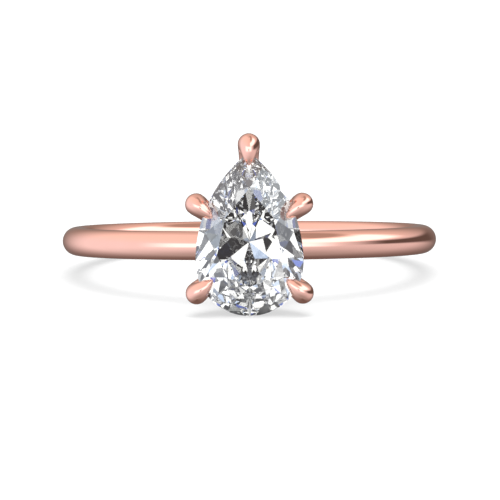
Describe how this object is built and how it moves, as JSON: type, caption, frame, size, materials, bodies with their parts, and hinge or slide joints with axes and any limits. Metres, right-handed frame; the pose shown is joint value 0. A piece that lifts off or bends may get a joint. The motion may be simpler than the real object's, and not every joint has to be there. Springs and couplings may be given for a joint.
{
  "type": "solitaire engagement ring",
  "caption": "Slim polished gold finger ring with a pear-cut clear stone held point-up by claw prongs on a wire basket head with two gallery rails.",
  "frame": {"origin": "centre of the finger hole, at the middle of the band's width", "axes": "+Z along the finger axis, towards the pear's point; -Y out through the stone's table; +X to the wearer's right of the stone when it is seen from the front with its point up"},
  "size_m": [0.02, 0.0243, 0.0093],
  "materials": {
    "rose_gold": "mirror polished",
    "diamond": "faceted and polished"
  },
  "bodies": {
    "root": {"shank": "rose_gold", "hub_with_peg": "rose_gold", "lower_gallery_rail": "rose_gold", "upper_gallery_rail": "rose_gold", "prong_point": "rose_gold", "prong_shoulder_right": "rose_gold", "prong_shoulder_left": "rose_gold", "prong_heel_left": "rose_gold", "prong_heel_right": "rose_gold", "pear_diamond": "diamond"}
  },
  "joints": []
}
